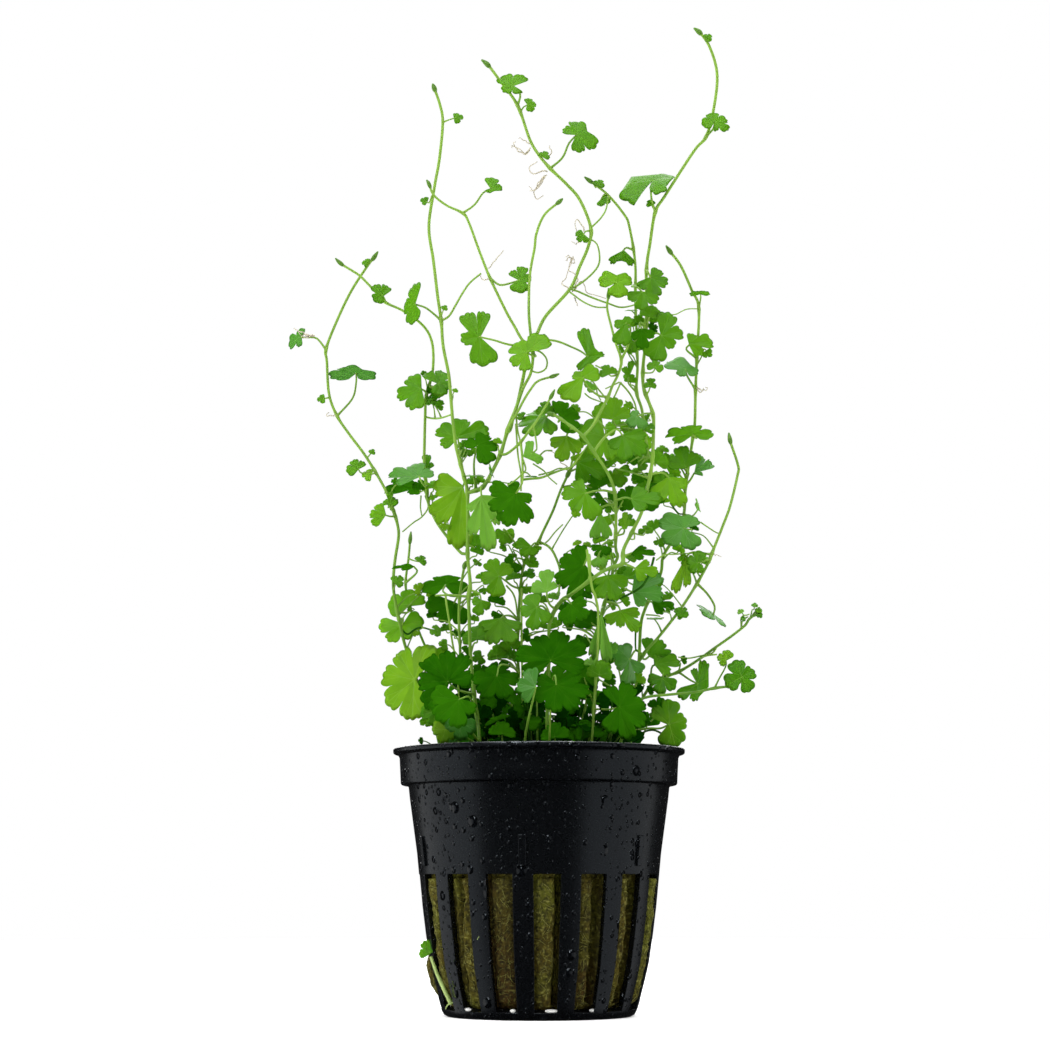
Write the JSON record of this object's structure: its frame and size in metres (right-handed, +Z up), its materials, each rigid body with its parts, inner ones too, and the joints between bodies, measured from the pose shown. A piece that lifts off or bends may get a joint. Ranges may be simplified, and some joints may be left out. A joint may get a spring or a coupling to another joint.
{
  "type": "potted aquarium plant",
  "caption": "Creeping water pennywort with three-lobed leaves on thin upright runners, rooted in a rockwool plug inside a slotted round net pot that stands on its flat base.",
  "frame": {"origin": "centre of the pot's flat base, on the surface that it stands on", "axes": "+Z up along the pot's axis, -Y towards the side seen in the picture, +X to that side's right"},
  "size_m": [0.0913, 0.055, 0.1913],
  "materials": {
    "pot_plastic": "black moulded plastic with a soft sheen",
    "wool": "olive brown mineral wool fibres",
    "stem_green": "smooth, yellow green",
    "leaf_green": "waxy, bright green"
  },
  "bodies": {
    "root": {"pot": "pot_plastic", "rockwool_plug": "wool", "stem_left_tall": "stem_green", "stem_left_second": "stem_green", "stem_left_inner": "stem_green", "stem_far_left": "stem_green", "stem_left_pale": "stem_green", "stem_centre_tall": "stem_green", "stem_left_centre": "stem_green", "stem_centre_short": "stem_green", "stem_centre_shoot": "stem_green", "stem_centre_bud": "stem_green", "stem_right_tall": "stem_green", "stem_arch": "stem_green", "stem_right": "stem_green", "stem_far_right": "stem_green", "stem_low_right": "stem_green", "stem_bottom_right": "stem_green", "stem_centre_right": "stem_green", "stem_right_middle": "stem_green", "stem_centre_low": "stem_green", "stem_centre_arc": "stem_green", "leaf_left_bright": "leaf_green", "leaf_left_yellow": "leaf_green", "leaf_left_dark": "leaf_green", "leaf_left_light": "leaf_green", "leaf_centre_left_dark": "leaf_green", "leaf_centre_long": "leaf_green", "leaf_left_bluish": "leaf_green", "leaf_left_under": "leaf_green", "leaf_left_low_bright": "leaf_green", "leaf_left_low_wide": "leaf_green", "leaf_left_low_dark": "leaf_green", "leaf_left_low_shade": "leaf_green", "leaf_low_yellow": "leaf_green", "leaf_low_crinkled": "leaf_green", "leaf_low_left_green": "leaf_green", "leaf_centre_low_bright": "leaf_green", "leaf_low_centre_arch": "leaf_green", "leaf_low_centre_dark": "leaf_green", "leaf_centre_big": "leaf_green", "leaf_centre_round": "leaf_green", "leaf_centre_sheen": "leaf_green", "leaf_centre_large_dark": "leaf_green", "leaf_right_low_bluish": "leaf_green", "leaf_right_low_bright": "leaf_green", "leaf_low_right_dark": "leaf_green", "leaf_far_right_fork": "leaf_green", "leaf_rim_right": "leaf_green", "leaf_right_bluish": "leaf_green", "leaf_right_shelf": "leaf_green", "leaf_right_bright": "leaf_green", "leaf_right_round": "leaf_green", "leaf_right_bar": "leaf_green", "leaf_right_upper_big": "leaf_green", "leaf_right_upper_bluish": "leaf_green", "leaf_right_centre_bright": "leaf_green", "leaf_right_centre_green": "leaf_green", "leaf_centre_right_light": "leaf_green", "leaf_centre_dark_flat": "leaf_green"}
  },
  "joints": []
}
